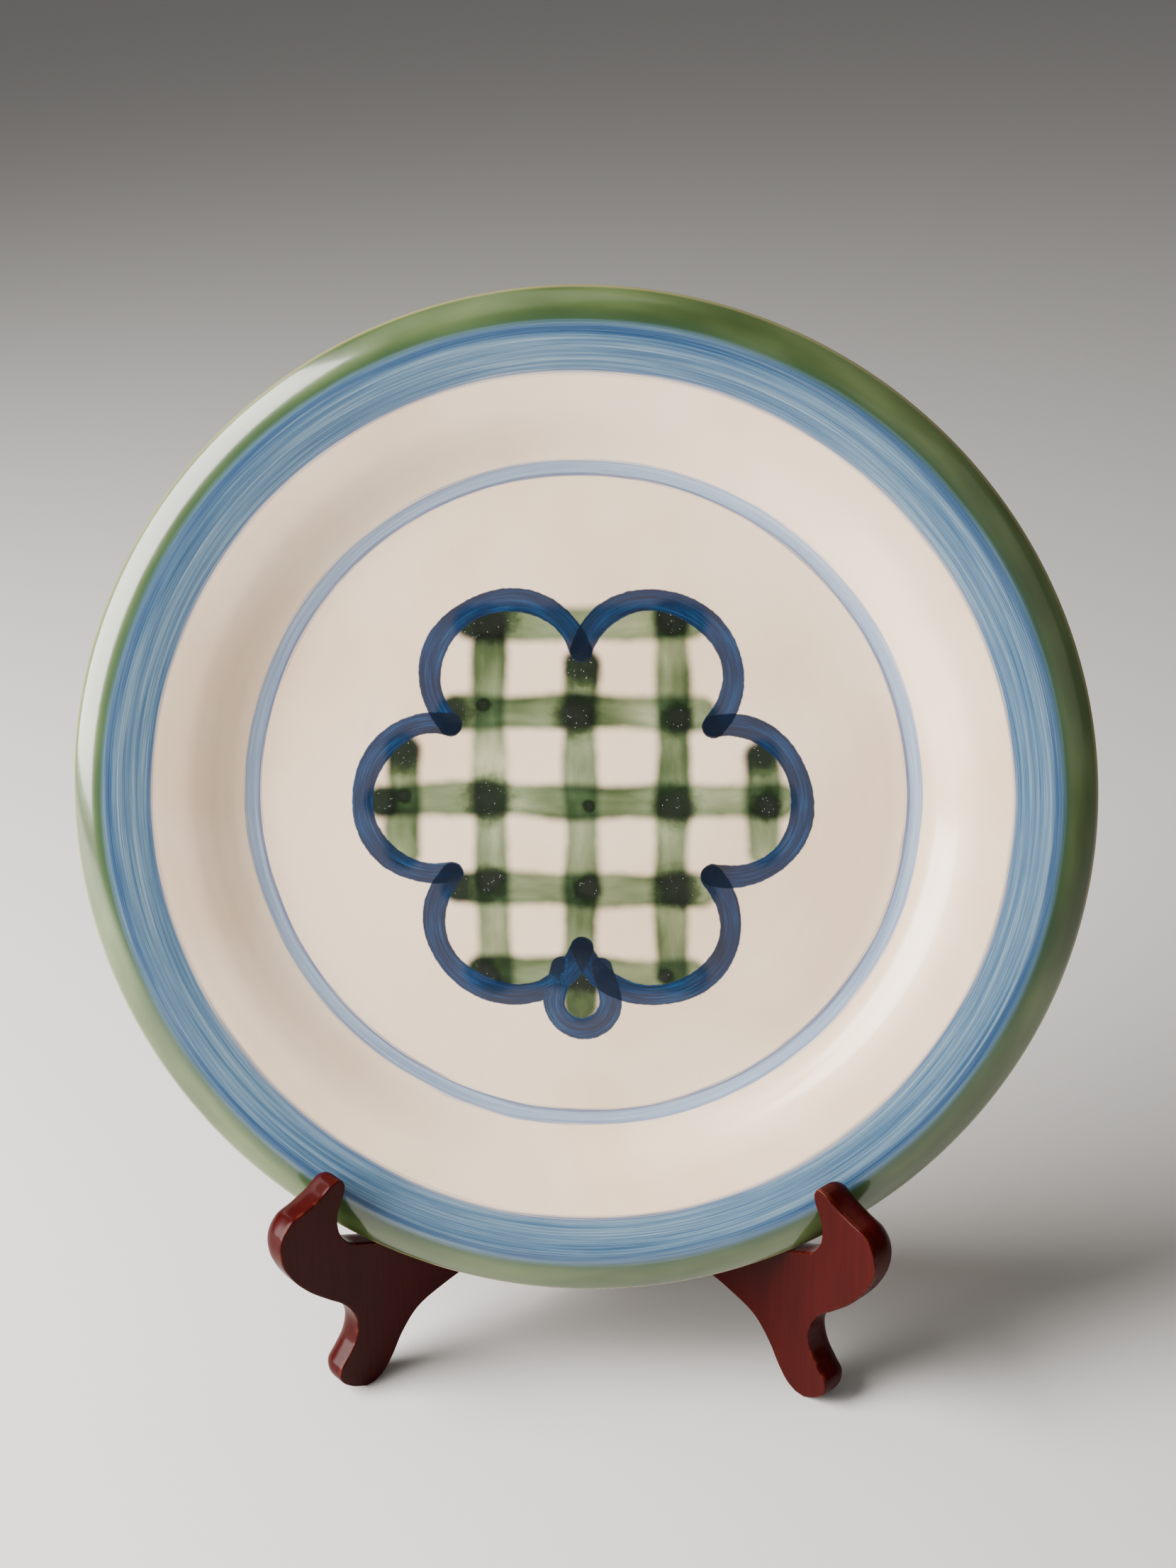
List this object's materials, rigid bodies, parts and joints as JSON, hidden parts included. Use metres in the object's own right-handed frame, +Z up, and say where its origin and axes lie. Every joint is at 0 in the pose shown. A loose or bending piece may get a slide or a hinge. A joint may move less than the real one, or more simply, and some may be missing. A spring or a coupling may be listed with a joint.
{
  "type": "decorated dinner plate on a folding plate stand",
  "caption": "Round hand painted stoneware dinner plate leaning on a folding wooden stand of shaped boards joined by small butt hinges.",
  "frame": {"origin": "middle of the bounding box's bottom face, on the surface that the stand's feet rest on", "axes": "+Z up, along the height of the stand and plate; the plate faces -Y and leans back towards +Y; +X to the right as seen from the front"},
  "size_m": [0.28, 0.0946, 0.3076],
  "materials": {
    "stoneware": "glossy glaze",
    "wood": "dark red-brown satin varnish",
    "brass": "lacquered"
  },
  "bodies": {
    "left_half": {"left_board": "wood", "upper_left_leaf": "brass", "lower_left_leaf": "brass", "upper_hinge_pin": "brass", "lower_hinge_pin": "brass", "left_screw_upper_top": "brass", "left_screw_upper_bottom": "brass", "left_screw_lower_top": "brass", "left_screw_lower_bottom": "brass"},
    "right_half": {"right_board": "wood", "upper_right_leaf": "brass", "lower_right_leaf": "brass", "right_screw_upper_top": "brass", "right_screw_upper_bottom": "brass", "right_screw_lower_top": "brass", "right_screw_lower_bottom": "brass"},
    "plate_body": {"plate": "stoneware"}
  },
  "joints": [
    {"name": "stand_fold", "type": "hinge", "parent": "left_half", "child": "right_half", "pos_m": [0, 0.0331, 0.088], "axis": [0, 0, -1], "range_deg": [0, 90]},
    {"name": "plate_lift", "type": "slide", "parent": "left_half", "child": "plate_body", "axis": [0, 0.085, 0.9964], "range_m": [0, 0.35]}
  ],
  "couplings": [
    {"joint": "stand_fold", "follows": "plate_lift", "rad_per_m": 4.4879}
  ]
}
